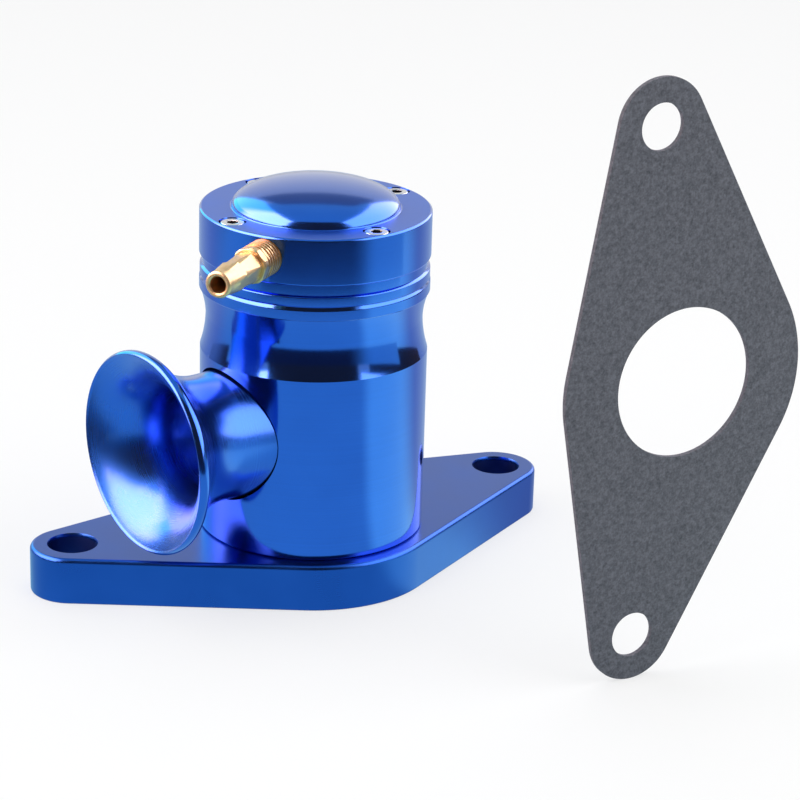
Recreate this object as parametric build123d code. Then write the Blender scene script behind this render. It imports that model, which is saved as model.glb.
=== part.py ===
from build123d import *
import math
import os

# A piston blow-off valve. Millimetres, +Z up. The origin is the centre of the inlet on the base
# flange's underside, and the two flange bolts lie side by side along X.

# Base flange
flange_thickness = 8.9
bolt_spacing = 92.0
bolt_offset = 7.7
bolt_hole_r = 4.4
flange_end_wall = 3.5
flange_margin = 2.8
flange_edge_fillet = 0.7
inlet_r = 13.5
inlet_lip = 2.5

# Valve body
body_r = 21.28
bore_wall = 6.28
seat_width = 2.0
seat_floor = 3.1
spigot_inset = 3.33
port_margin = 1.2
neck_depth = 1.04
neck_lower = 6.5
neck_upper = 5.1
neck_fall_share = 0.745
neck_rise_share = 0.26
lip_proud = 0.2
lip_height = 2.0
lip_chamfer = 0.15
groove_height = 0.8
groove_depth = 0.35
groove_floor = 0.2
upper_band = 1.6
upper_band_inset = 0.1
notch_depth = 0.5
notch_height = 2.1
edge_chamfer = 0.3

# Trumpet outlet
outlet_azimuth = -170.5
bell_clearance = 2.53
bell_r = 19.0
bell_land = 2.4
bell_wall = 0.9
bell_back_step = 1.0
rim_edge = 0.45
rim_corner_cut = 0.135
flare_length = 14.5
waist_wall = 2.67
tail_length = 7.25
tail_wall = 3.15
tail_depth = 4.23
tail_curve_share = 0.25
throat_r = 9.2
trumpet_spigot_wall = 1.5

# Cap with its dome
cap_overhang = 0.22
cap_height = 8.8
cap_chamfer = 0.4
cap_roof = 0.9
dome_land = 3.6
dome_height = 5.1
dome_fillet = 0.6
cap_spigot_length = 2.6
cap_ring_land = 0.5
cap_screw_inset = 2.9
cap_screw_count = 4
cap_screw_azimuth = -171.9
cap_screw_length = 14.0
cap_screw_thread_r = 1.25
cap_screw_head_r = 2.2
cap_screw_head_height = 2.5
cap_screw_socket_r = 1.1
cap_screw_socket_depth = 1.25
cap_screw_hole_room = 3.3
cap_screw_sink = 0.2
cap_screw_head_clearance = 0.2

# Vacuum nipple
nipple_azimuth = -143.0
nipple_drop = 4.0
nipple_length = 18.1
nipple_thread_r = 3.4
nipple_thread_depth = 5.0
nipple_bore_r = 1.55
nipple_tip_r = 2.45
nipple_tip_land = 1.6
nipple_barb_r = 2.9
nipple_root_r = 2.62
nipple_collar_start = 1.9
nipple_collar_end = 6.2
nipple_barbs_at = (7.1, 12.3)
nipple_barb_flats = 5.1
nipple_collar_flats = 6.4
nipple_flats_end = 14.5
nipple_flats_turn = 43.0
nipple_groove = 0.28
nipple_groove_count = 3
nipple_groove_floor_share = 0.35
nipple_groove_end_share = 0.7

# Piston, its seals and its spring
piston_wall = 2.4
piston_floor = 3.5
piston_head_room = 0.5
piston_boss_r = 5.5
piston_boss_height = 4.0
port_seal_land = 1.1
ring_land = 1.3
nose_seal_thickness = 1.5
retainer_thickness = 2.2
retainer_chamfer = 0.88
retainer_screw_r = 2.5
retainer_screw_head_r = 4.75
retainer_screw_head_height = 2.7
retainer_screw_dome = 1.62
retainer_screw_socket_r = 1.65
retainer_screw_socket_depth = 1.62
guide_ring_height = 3.0
ring_depth = 1.15
spring_wire = 1.8
spring_turns = 7.5
washer_thickness = 1.0
washer_width = 2.34

# Small rings and lock screws
o_ring_section = 1.3
small_ring_section = 1.0
lock_screw_r = 1.5
lock_screw_azimuths = (60.0, 120.0)
lock_groove_height = 1.9
lock_groove_depth = 1.0
lock_groove_land = 1.0
base_ring_land = 0.6
lock_tip_length = 1.2
lock_screw_length = 7.4
lock_screw_socket_r = 0.825
lock_screw_socket_depth = 1.8

# Gasket, shown taken off and standing in front of the valve, to one side
gasket_thickness = 1.0
gasket_hole_r = 4.1
gasket_end_wall = 4.4
gasket_gap = 46.0
gasket_side_gap = 10.3

# Clearances, and how far a cutting shape runs past the metal
running_clearance = 0.05
seal_clearance = 0.12
free_clearance = 0.3
thread_clearance = 0.05
cut_overrun = 1.0

# Places that follow from the sizes above
flange_r = body_r + flange_margin
flange_end_r = bolt_hole_r + flange_end_wall
pocket_r = body_r - spigot_inset + running_clearance
spigot_r = body_r - spigot_inset
bore_r = body_r - bore_wall
seat_bore_r = bore_r - seat_width
seat_z = flange_thickness + seat_floor
lock_groove_z = flange_thickness - lock_groove_height - lock_groove_land

outlet_z = flange_thickness + bell_clearance + bell_r
waist_r = throat_r + waist_wall
tail_r = throat_r + tail_wall
tail_seat = body_r - tail_depth
waist_reach = tail_seat + tail_length
bell_reach = waist_reach + flare_length
trumpet_spigot_r = throat_r + trumpet_spigot_wall
port_r = trumpet_spigot_r + thread_clearance
port_counterbore_r = tail_r + 2 * thread_clearance

straight_top = outlet_z + tail_r + port_margin
neck_r = body_r - neck_depth
neck_z = straight_top + neck_lower
lip_r = body_r + lip_proud
lip_z = neck_z + neck_upper
groove_z = lip_z + lip_height
band_z = groove_z + groove_height
notch_z = band_z + upper_band
body_top = notch_z + notch_height

cap_r = body_r + cap_overhang
cap_top = body_top + cap_height
cap_screw_circle_r = cap_r - cap_screw_inset
cap_screw_head_top = cap_top - cap_screw_sink
cap_screw_head_z = cap_screw_head_top - cap_screw_head_height
cap_screw_foot = cap_screw_head_top - cap_screw_length
dome_r = cap_screw_circle_r - dome_land
cap_spigot_r = bore_r - running_clearance
cap_spigot_bottom = body_top - cap_spigot_length

piston_r = bore_r - running_clearance
piston_inner_r = piston_r - piston_wall
piston_bottom = seat_z + nose_seal_thickness
piston_ring_z = outlet_z + port_r + port_seal_land
piston_top = piston_ring_z + o_ring_section + 2 * running_clearance + ring_land
piston_lift = cap_spigot_bottom - piston_top - piston_head_room

spring_outer_r = piston_inner_r - 2 * free_clearance
spring_room_r = spring_outer_r + free_clearance
spring_bottom = piston_bottom + piston_floor + washer_thickness
recess_top = cap_top - cap_roof
spring_top = recess_top - washer_thickness
spring_mean_r = spring_outer_r - spring_wire / 2

nipple_z = cap_top - nipple_drop

gasket_end_r = gasket_hole_r + gasket_end_wall
gasket_x = flange_r + gasket_side_gap
gasket_y = -(flange_r + gasket_gap)
gasket_z = bolt_spacing / 2 + gasket_end_r


def turned(points):
    """A solid turned about Z from a closed half-section of (radius, height) points."""
    return turned_outline(Polyline(*points, close=True))


def turned_outline(outline):
    """A solid turned about Z from a closed outline drawn in radius and height."""
    return revolve(Plane.XZ * make_face(outline), Axis.Z)


def ring(inner_r, outer_r, bottom, height):
    """A flat ring with a square section."""
    return Pos(0, 0, bottom) * extrude(Circle(outer_r) - Circle(inner_r), height)


def o_ring(mean_r, height, section):
    """A rubber ring with a round section."""
    return Pos(0, 0, height) * Torus(mean_r, section / 2)


def radial(azimuth, height):
    """The place of a radial piece: its own Z points outwards at this azimuth and height."""
    return Pos(0, 0, height) * Rot(0, 0, azimuth) * Rot(0, 90, 0)


def around(radius, azimuth, height):
    """The place of an upright piece on a circle about the body's axis."""
    return Rot(0, 0, azimuth) * Pos(radius, 0, height)


def span(start, end, radius):
    """A plain cylinder along Z from start to end."""
    return Pos(0, 0, start) * extrude(Circle(radius), end - start)


def socket(radius, bottom, depth):
    """The shape of a hexagonal socket, upwards from its bottom."""
    return Pos(0, 0, bottom) * extrude(RegularPolygon(radius, 6), depth)


def circles_at(solid, radius, height, tolerance=0.02):
    """The round edges of a solid with this radius at this height."""
    found = []
    for edge in solid.edges().filter_by(GeomType.CIRCLE):
        if abs(edge.radius - radius) < tolerance and abs(edge.center().Z - height) < tolerance:
            found.append(edge)
    return ShapeList(found)


def diamond(centre_r, end_r):
    """The outline that flange and gasket share: a round middle drawn out to two bolt ends."""
    middle = Circle(centre_r)
    left = Pos(-bolt_spacing / 2, bolt_offset) * Circle(end_r)
    right = Pos(bolt_spacing / 2, bolt_offset) * Circle(end_r)
    return make_hull(middle.edges() + left.edges() + right.edges())


def bolt_holes(hole_r):
    """Circles for the two bolts."""
    left = Pos(-bolt_spacing / 2, bolt_offset) * Circle(hole_r)
    right = Pos(bolt_spacing / 2, bolt_offset) * Circle(hole_r)
    return left + right


def lock_screw_place(azimuth):
    """A lock screw lies in the flange, level with the groove in the body's spigot."""
    return radial(azimuth, lock_groove_z + lock_groove_height / 2)


def flange_base():
    """Base flange: bolts to the intake pipe, and its pocket takes the body's spigot."""
    plate = extrude(diamond(flange_r, flange_end_r), flange_thickness)
    plate = fillet(plate.edges().group_by(Axis.Z)[-1], flange_edge_fillet)
    plate = chamfer(plate.edges().group_by(Axis.Z)[0], edge_chamfer)
    plate -= extrude(bolt_holes(bolt_hole_r), flange_thickness)
    for side in (-1, 1):
        plate -= Pos(side * bolt_spacing / 2, bolt_offset, flange_thickness) * hole_edge(bolt_hole_r)
    plate -= span(0, flange_thickness, inlet_r)
    plate -= span(inlet_lip, flange_thickness, pocket_r)
    for azimuth in lock_screw_azimuths:
        plate -= lock_screw_place(azimuth) * span(pocket_r - cut_overrun, bolt_spacing / 2, lock_screw_r)
    return plate


def hole_edge(radius):
    """The chamfer cut at the mouth of a hole, as a cone about Z with its wide end at Z = 0."""
    return Pos(0, 0, -edge_chamfer / 2) * Cone(radius, radius + edge_chamfer, edge_chamfer)


def base_lock_screws():
    """Two grub screws whose tips run in the spigot's groove."""
    tip = spigot_r - lock_groove_depth + free_clearance
    shoulder = tip + lock_tip_length
    end = tip + lock_screw_length
    screw = span(shoulder, end, lock_screw_r - thread_clearance)
    screw += span(tip, shoulder, lock_groove_height / 2 - 2 * thread_clearance)
    screw -= socket(lock_screw_socket_r, end - lock_screw_socket_depth, lock_screw_socket_depth)
    return [lock_screw_place(azimuth) * screw for azimuth in lock_screw_azimuths]


def flange_gasket():
    """Fibre gasket of the flange's outline, taken off and stood on its rounded end."""
    sheet = diamond(flange_r, gasket_end_r) - bolt_holes(gasket_hole_r) - Circle(inlet_r)
    upright = Plane(origin=(gasket_x, gasket_y, gasket_z), x_dir=(0, 0, 1), z_dir=(0, -1, 0))
    return upright * extrude(sheet, gasket_thickness)


def body_outline():
    """The body's half-section, from the spigot's foot up the outside and down the bore."""
    foot = inlet_lip + 2 * running_clearance
    ring_groove_r = spigot_r - small_ring_section - running_clearance
    ring_bottom = foot + base_ring_land
    ring_top = ring_bottom + small_ring_section + 2 * seal_clearance
    lock_r = spigot_r - lock_groove_depth
    lock_bottom = lock_groove_z
    lock_top = lock_bottom + lock_groove_height
    outside = Polyline(
        (seat_bore_r, foot), (spigot_r, foot),
        (spigot_r, ring_bottom), (ring_groove_r, ring_bottom), (ring_groove_r, ring_top), (spigot_r, ring_top),
        (spigot_r, lock_bottom), (lock_r, lock_bottom), (lock_r, lock_top), (spigot_r, lock_top),
        (spigot_r, flange_thickness), (body_r - edge_chamfer, flange_thickness),
        (body_r, flange_thickness + edge_chamfer), (body_r, straight_top),
    )
    lower_neck_mid = (body_r - neck_fall_share * neck_depth, straight_top + neck_lower / 2)
    upper_neck_mid = (neck_r + neck_rise_share * (lip_r - neck_r), neck_z + neck_upper / 2)
    neck = [
        ThreePointArc((body_r, straight_top), lower_neck_mid, (neck_r, neck_z)),
        ThreePointArc((neck_r, neck_z), upper_neck_mid, (lip_r - lip_chamfer, lip_z)),
    ]
    band_r = lip_r - upper_band_inset
    notch_r = band_r - notch_depth
    inside = Polyline(
        (lip_r - lip_chamfer, lip_z), (lip_r, lip_z + lip_chamfer), (lip_r, groove_z),
        (lip_r - groove_depth, band_z - groove_floor), (band_r, band_z),
        (band_r, notch_z), (notch_r, notch_z + edge_chamfer), (notch_r, body_top),
        (bore_r + edge_chamfer, body_top), (bore_r, body_top - edge_chamfer),
        (bore_r, seat_z), (seat_bore_r, seat_z), (seat_bore_r, foot),
    )
    return Curve() + [outside, *neck, inside]


def valve_body():
    """Main body: bore for the piston, seat at its foot and a side port for the trumpet."""
    body = turned_outline(body_outline())
    body -= radial(outlet_azimuth, outlet_z) * span(0, body_r, port_r)
    body -= radial(outlet_azimuth, outlet_z) * span(tail_seat, body_r + cut_overrun, port_counterbore_r)
    for azimuth in cap_screw_azimuths():
        hole = span(cap_screw_foot - cap_screw_hole_room, body_top, cap_screw_thread_r + thread_clearance)
        body -= around(cap_screw_circle_r, azimuth, 0) * hole
    return body


def base_o_ring():
    """Rubber ring between the spigot and the flange's pocket."""
    groove_r = spigot_r - small_ring_section - running_clearance
    foot = inlet_lip + 2 * running_clearance
    height = foot + base_ring_land + small_ring_section / 2 + seal_clearance
    section = small_ring_section - seal_clearance / 2
    return o_ring(groove_r + section / 2, height, section)


def trumpet_outline():
    """The trumpet's half-section: radius against reach from the body's axis."""
    lip_start = bell_reach - bell_land
    back_r = bell_r - bell_back_step
    flare = lip_start - waist_reach
    flare_rise = back_r - waist_r
    flare_r = (flare**2 + flare_rise**2) / (2 * flare_rise)
    half = flare / 2
    flare_mid = (waist_r + flare_r - math.sqrt(flare_r**2 - half**2), waist_reach + half)
    tail_mid = (waist_r + tail_curve_share * (tail_r - waist_r), tail_seat + tail_length / 2)
    mouth_r = bell_r - bell_wall
    mouth_run = bell_reach - edge_chamfer - waist_reach
    mouth_rise = mouth_r - throat_r
    mouth_flare_r = (mouth_run**2 + mouth_rise**2) / (2 * mouth_rise)
    inner_half = mouth_run / 2
    inner_mid_r = throat_r + mouth_flare_r - math.sqrt(mouth_flare_r**2 - inner_half**2)
    inner_mid = (inner_mid_r, waist_reach + inner_half)
    edges = [
        Polyline((throat_r, 0), (trumpet_spigot_r, 0), (trumpet_spigot_r, tail_seat), (tail_r, tail_seat)),
        ThreePointArc((tail_r, tail_seat), tail_mid, (waist_r, waist_reach)),
        ThreePointArc((waist_r, waist_reach), flare_mid, (back_r, lip_start)),
        Polyline(
            (back_r, lip_start), (bell_r - rim_edge, lip_start), (bell_r, lip_start + rim_edge),
            (bell_r, bell_reach - rim_edge),
        ),
        ThreePointArc(
            (bell_r, bell_reach - rim_edge), (bell_r - rim_corner_cut, bell_reach - rim_corner_cut),
            (bell_r - rim_edge, bell_reach),
        ),
        Polyline((bell_r - rim_edge, bell_reach), (mouth_r, bell_reach - edge_chamfer)),
        ThreePointArc((mouth_r, bell_reach - edge_chamfer), inner_mid, (throat_r, waist_reach)),
        Line((throat_r, waist_reach), (throat_r, 0)),
    ]
    return Curve() + edges


def trumpet():
    """Flared outlet: its shoulder seats in the body and its spigot enters the side port."""
    horn = turned_outline(trumpet_outline())
    groove_outer_r = trumpet_spigot_r + small_ring_section + seal_clearance
    horn -= ring(trumpet_spigot_r, groove_outer_r, tail_seat, small_ring_section)
    horn = radial(outlet_azimuth, outlet_z) * horn
    return horn - span(0, body_top, bore_r + free_clearance)


def trumpet_o_ring():
    """Rubber ring in the trumpet's shoulder."""
    ring_r = trumpet_spigot_r + (small_ring_section + seal_clearance) / 2
    section = small_ring_section - running_clearance
    return radial(outlet_azimuth, outlet_z) * o_ring(ring_r, tail_seat + small_ring_section / 2, section)


def cap_screw_azimuths():
    """The cap screws stand evenly round the dome."""
    return [cap_screw_azimuth + k * 360 / cap_screw_count for k in range(cap_screw_count)]


def cap_outline():
    """The cap's half-section: the spigot in the bore, the rim, the dome and the spring's recess."""
    groove_r = cap_spigot_r - o_ring_section + running_clearance
    groove_bottom = cap_spigot_bottom + cap_ring_land
    groove_top = groove_bottom + o_ring_section + 2 * running_clearance
    dome = EllipticalCenterArc((0, cap_top), dome_r, dome_height, start_angle=0, arc_size=90)
    edges = [
        Polyline(
            (spring_room_r, cap_spigot_bottom), (cap_spigot_r, cap_spigot_bottom),
            (cap_spigot_r, groove_bottom), (groove_r, groove_bottom), (groove_r, groove_top),
            (cap_spigot_r, groove_top), (cap_spigot_r, body_top), (cap_r - edge_chamfer, body_top),
            (cap_r, body_top + edge_chamfer), (cap_r, cap_top - cap_chamfer),
            (cap_r - cap_chamfer, cap_top), (dome_r, cap_top),
        ),
        dome,
        Polyline((0, cap_top + dome_height), (0, recess_top), (spring_room_r, recess_top)),
        Line((spring_room_r, recess_top), (spring_room_r, cap_spigot_bottom)),
    ]
    return Curve() + edges


def top_cap():
    """Domed cap: closes the bore, holds the spring and takes the vacuum nipple."""
    cap = turned_outline(cap_outline())
    cap = fillet(circles_at(cap, dome_r, cap_top), dome_fillet)
    counterbore = span(cap_screw_head_z, cap_top, cap_screw_head_r + cap_screw_head_clearance)
    hole = span(body_top, cap_top, cap_screw_thread_r + 2 * thread_clearance)
    for azimuth in cap_screw_azimuths():
        cap -= around(cap_screw_circle_r, azimuth, 0) * (counterbore + hole)
    port = span(0, cap_r, nipple_bore_r)
    port += span(cap_r - nipple_thread_depth, cap_r + cut_overrun, nipple_thread_r + thread_clearance)
    return cap - radial(nipple_azimuth, nipple_z) * port


def cap_screws():
    """Four socket screws that hold the cap to the body."""
    screw = span(cap_screw_head_z, cap_screw_head_top, cap_screw_head_r)
    screw += span(cap_screw_foot, cap_screw_head_z, cap_screw_thread_r)
    screw -= socket(cap_screw_socket_r, cap_screw_head_top - cap_screw_socket_depth, cap_screw_socket_depth)
    return [around(cap_screw_circle_r, azimuth, 0) * screw for azimuth in cap_screw_azimuths()]


def cap_o_ring():
    """Rubber ring between the cap's spigot and the bore."""
    groove_r = cap_spigot_r - o_ring_section + running_clearance
    height = cap_spigot_bottom + cap_ring_land + o_ring_section / 2 + running_clearance
    section = o_ring_section - seal_clearance
    return o_ring(groove_r + section / 2, height, section)


def nipple_outline():
    """The nipple's half-section: radius against distance from the cap's side."""
    r = nipple_thread_r
    valley_r = r - nipple_groove
    pitch = nipple_collar_start / nipple_groove_count
    points = [(nipple_bore_r, -nipple_thread_depth), (valley_r, -nipple_thread_depth)]
    points += [(r, nipple_groove - nipple_thread_depth)]
    for k in range(nipple_groove_count):
        points += [
            (r, k * pitch), (valley_r, (k + nipple_groove_floor_share) * pitch),
            (r, (k + nipple_groove_end_share) * pitch),
        ]
    points += [(r, nipple_collar_end - nipple_groove), (r - nipple_groove, nipple_collar_end)]
    points += [(nipple_root_r, nipple_collar_end)]
    for barb in nipple_barbs_at:
        points += [(nipple_root_r, barb - nipple_groove), (nipple_barb_r, barb)]
    points += [
        (nipple_tip_r, nipple_length - nipple_tip_land), (nipple_tip_r, nipple_length - nipple_groove),
        (nipple_tip_r - nipple_groove, nipple_length), (nipple_bore_r, nipple_length),
    ]
    return points


def flats(across, start, end):
    """The metal outside six flats, between two distances from the cap's side."""
    outside = Circle(2 * nipple_thread_r) - RegularPolygon(across / 2, 6, major_radius=False)
    return Pos(0, 0, start) * Rot(0, 0, nipple_flats_turn) * extrude(outside, end - start)


def vacuum_nipple():
    """Brass hose nipple: a barbed barrel with six flats, screwed into the cap's side."""
    nipple = turned(nipple_outline())
    nipple -= flats(nipple_collar_flats, nipple_collar_start, nipple_collar_end)
    nipple -= flats(nipple_barb_flats, nipple_collar_end, nipple_flats_end)
    return radial(nipple_azimuth, nipple_z) * Pos(0, 0, cap_r) * nipple


def piston():
    """Cup piston: open upwards for the spring, with ring grooves above and below the port."""
    bottom = piston_bottom
    top = piston_top
    ring_r = piston_r - o_ring_section + running_clearance
    ring_z = piston_ring_z
    ring_end = ring_z + o_ring_section + 2 * running_clearance
    guide_r = piston_r - ring_depth
    guide_z = bottom + ring_land
    guide_end = guide_z + guide_ring_height + 2 * running_clearance
    floor_z = bottom + piston_floor
    boss_z = floor_z + piston_boss_height
    points = [
        (retainer_screw_r + thread_clearance, bottom), (piston_r - edge_chamfer, bottom),
        (piston_r, bottom + edge_chamfer), (piston_r, guide_z), (guide_r, guide_z), (guide_r, guide_end),
        (piston_r, guide_end), (piston_r, ring_z), (ring_r, ring_z), (ring_r, ring_end),
        (piston_r, ring_end), (piston_r, top - edge_chamfer), (piston_r - edge_chamfer, top),
        (piston_inner_r, top), (piston_inner_r, floor_z), (piston_boss_r, floor_z),
        (piston_boss_r, boss_z), (retainer_screw_r + thread_clearance, boss_z),
    ]
    return turned(points)


def piston_o_ring():
    """Rubber ring that seals the chamber above the piston."""
    section = o_ring_section - seal_clearance
    height = piston_ring_z + running_clearance + o_ring_section / 2
    return o_ring(piston_r - o_ring_section + running_clearance + section / 2, height, section)


def piston_guide_ring():
    """Plastic wear ring low on the piston."""
    bottom = piston_bottom + ring_land + running_clearance
    return ring(piston_r - ring_depth + running_clearance, bore_r - seal_clearance, bottom, guide_ring_height)


def nose_seal():
    """Rubber disc under the piston that closes the seat."""
    return ring(retainer_screw_r + thread_clearance, bore_r - 2 * free_clearance, seat_z, nose_seal_thickness)


def seal_retainer():
    """Metal disc that holds the nose seal and passes down through the seat."""
    bottom = seat_z - retainer_thickness
    disc = ring(retainer_screw_r + thread_clearance, seat_bore_r - 2 * free_clearance, bottom, retainer_thickness)
    return chamfer(circles_at(disc, seat_bore_r - 2 * free_clearance, bottom), retainer_chamfer)


def retainer_screw():
    """Button-head screw up through the retainer and the seal into the piston's boss."""
    head_top = seat_z - retainer_thickness
    head_bottom = head_top - retainer_screw_head_height
    end = piston_bottom + piston_floor + piston_boss_height
    screw = span(head_bottom, head_top, retainer_screw_head_r)
    screw = fillet(circles_at(screw, retainer_screw_head_r, head_bottom), retainer_screw_dome)
    screw += span(head_top, end, retainer_screw_r)
    return screw - socket(retainer_screw_socket_r, head_bottom, retainer_screw_socket_depth)


def return_spring():
    """Compression spring from the piston's floor to the cap, its two ends ground flat."""
    height = spring_top - spring_bottom
    path = Helix(height / spring_turns, height, spring_mean_r)
    wire = Plane(origin=path @ 0, z_dir=path % 0) * Circle(spring_wire / 2)
    coil = Pos(0, 0, spring_bottom) * sweep(wire, path)
    return coil & span(spring_bottom, spring_top, spring_outer_r + cut_overrun)


def spring_washer(bottom):
    """Steel washer at one end of the spring."""
    return ring(spring_outer_r - washer_width, spring_outer_r, bottom, washer_thickness)


pieces = {
    "flange_base": flange_base(),
    "base_lock_screws": base_lock_screws(),
    "flange_gasket": flange_gasket(),
    "valve_body": valve_body(),
    "base_o_ring": base_o_ring(),
    "trumpet": trumpet(),
    "trumpet_o_ring": trumpet_o_ring(),
    "top_cap": top_cap(),
    "cap_screws": cap_screws(),
    "cap_o_ring": cap_o_ring(),
    "vacuum_nipple": vacuum_nipple(),
    "return_spring": return_spring(),
    "upper_spring_washer": spring_washer(spring_top),
    "lower_spring_washer": spring_washer(spring_bottom - washer_thickness),
    "piston": piston(),
    "piston_o_ring": piston_o_ring(),
    "piston_guide_ring": piston_guide_ring(),
    "nose_seal": nose_seal(),
    "seal_retainer": seal_retainer(),
    "retainer_screw": retainer_screw(),
}

os.makedirs("parts", exist_ok=True)
for name, shape in pieces.items():
    if isinstance(shape, list):
        shape = Compound(children=shape)
    export_step(shape, f"parts/{name}.step")
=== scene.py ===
import math

import bpy
from mathutils import Matrix, Vector


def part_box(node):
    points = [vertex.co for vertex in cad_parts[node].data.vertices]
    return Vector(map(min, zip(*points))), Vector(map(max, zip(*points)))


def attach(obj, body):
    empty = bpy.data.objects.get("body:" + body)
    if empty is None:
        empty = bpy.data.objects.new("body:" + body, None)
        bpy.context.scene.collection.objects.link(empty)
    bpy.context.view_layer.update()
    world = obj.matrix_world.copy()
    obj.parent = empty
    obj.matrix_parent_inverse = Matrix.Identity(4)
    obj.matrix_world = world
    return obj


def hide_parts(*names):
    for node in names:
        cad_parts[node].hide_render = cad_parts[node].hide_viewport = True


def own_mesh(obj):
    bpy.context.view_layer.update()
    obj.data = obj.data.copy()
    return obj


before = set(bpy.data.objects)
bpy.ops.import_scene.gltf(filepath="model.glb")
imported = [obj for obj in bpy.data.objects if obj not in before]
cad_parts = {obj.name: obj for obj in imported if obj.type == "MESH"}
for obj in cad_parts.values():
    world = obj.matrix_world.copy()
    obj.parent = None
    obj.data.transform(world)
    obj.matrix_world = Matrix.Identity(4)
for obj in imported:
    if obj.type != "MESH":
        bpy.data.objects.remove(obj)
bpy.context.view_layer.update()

# Looks of a piston blow-off valve: blue anodised body, flange, trumpet outlet and cap, a brass hose
# nipple, steel cap screws and a grey fibre gasket.

MM = 0.001

# Sizes in millimetres and degrees, as in the solids but for four that follow the photograph:
# dome_r is 15.0 in the solids, thread_length and flats_start are 1.9, and port_seat_r is 12.45.
flange_thickness = 8.9
bolt_x = 46.0
bolt_y = 7.7
bolt_hole_r = 4.4
flange_r = 24.08
flange_end_r = 7.9
inlet_r = 13.5
pocket_r = 18.0
spigot_r = 17.95
spigot_foot = 2.6
seat_r = 13.0
bore_r = 15.0
body_r = 21.28
straight_top = 43.98
neck_r = 20.24
neck_z = 50.48
lip_r = 21.48
lip_z = 55.58
groove_z = 57.58
band_z = 58.38
notch_z = 59.98
body_top = 62.08
outlet_azimuth = -170.5
outlet_z = 30.43
port_r = 10.75
port_seat_r = 12.5
bell_reach = 38.8
bell_r = 19.0
waist_reach = 24.3
waist_r = 11.87
tail_reach = 17.05
tail_r = 12.35
throat_r = 9.2
cap_r = 21.5
cap_top = 70.88
cap_spigot_r = 14.95
cap_spigot_foot = 59.48
cap_recess_r = 12.25
cap_recess_top = 69.98
dome_r = 15.7
dome_height = 5.1
screw_circle_r = 18.6
screw_azimuth = -171.9
screw_r = 1.25
screw_head_r = 2.2
counterbore_r = 2.4
socket_r = 1.1
nipple_azimuth = -143.0
nipple_z = 66.88
nipple_start = 21.5
nipple_length = 18.1
nipple_bore_r = 1.55
thread_r = 3.4
thread_length = 5.1
flats_start = 3.4
flats_turn = 73.0
collar_end = 6.2
barrel_r = 2.62
barb_r = 2.9
tip_r = 2.45
tip_start = 16.5
lock_screw_azimuths = (60.0, 120.0)
lock_screw_z = 6.95
lock_screw_r = 1.5
coil_r = 11.05
wire_r = 0.9
coil_turns = 7.5

# The gasket stands upright, its thickness along Y
gasket_low, gasket_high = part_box("flange_gasket")
gasket_front = gasket_low.y / MM
gasket_back = gasket_high.y / MM
gasket_hole_x = gasket_high.x / MM - flange_r - bolt_y
gasket_middle_z = (gasket_low.z + gasket_high.z) / 2 / MM
gasket_end_r = 8.5
gasket_hole_r = 4.1


# Modelling steps that the pieces share


def clear_selection():
    """Leaves edit mode and selects nothing, so that a primitive can be added."""
    if bpy.context.object is not None and bpy.context.object.mode != "OBJECT":
        bpy.ops.object.mode_set(mode="OBJECT")
    bpy.ops.object.select_all(action="DESELECT")


def work_on(piece, mode="OBJECT"):
    """Only this piece is selected and active, in object or edit mode."""
    clear_selection()
    piece.select_set(True)
    bpy.context.view_layer.objects.active = piece
    if mode != "OBJECT":
        bpy.ops.object.mode_set(mode=mode)


def pick(piece, kind, wanted):
    """Selects the vertices, edges or faces for which wanted(...) holds, and goes to edit mode."""
    work_on(piece, "EDIT")
    bpy.ops.mesh.select_mode(type=kind)
    bpy.ops.mesh.select_all(action="DESELECT")
    bpy.ops.object.mode_set(mode="OBJECT")
    mesh = piece.data
    if kind == "VERT":
        for vertex in mesh.vertices:
            vertex.select = wanted(vertex.co)
    elif kind == "EDGE":
        for edge in mesh.edges:
            ends = [mesh.vertices[i].co for i in edge.vertices]
            edge.select = wanted(*ends)
    else:
        for face in mesh.polygons:
            face.select = wanted(face.center, face.normal)
    bpy.ops.object.mode_set(mode="EDIT")


def one_point(name, point):
    """A new mesh with a single point, made from a small square merged to its middle."""
    clear_selection()
    bpy.ops.mesh.primitive_plane_add(size=MM, location=(0, 0, 0))
    piece = bpy.context.object
    piece.name = name
    piece.data.name = name
    bpy.ops.object.mode_set(mode="EDIT")
    bpy.ops.mesh.select_mode(type="VERT")
    bpy.ops.mesh.merge(type="CENTER")
    bpy.ops.transform.translate(value=[c * MM for c in point])
    return piece


def draw_on(here, there):
    """Extends the line being drawn from one point to the next."""
    step = [(b - a) * MM for a, b in zip(here, there)]
    bpy.ops.mesh.extrude_vertices_move(TRANSFORM_OT_translate={"value": step})


def near(a, b, tolerance=0.004):
    """Whether two millimetre lengths are the same."""
    return abs(a - b) < tolerance


def pick_level(piece, height, reach=math.inf):
    """Selects the edges that lie level at this height, within this reach of the piece's axis."""
    pick(piece, "EDGE", lambda a, b: all(
        near(end.z / MM, height) and math.hypot(end.x, end.y) < reach * MM for end in (a, b)
    ))


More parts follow.
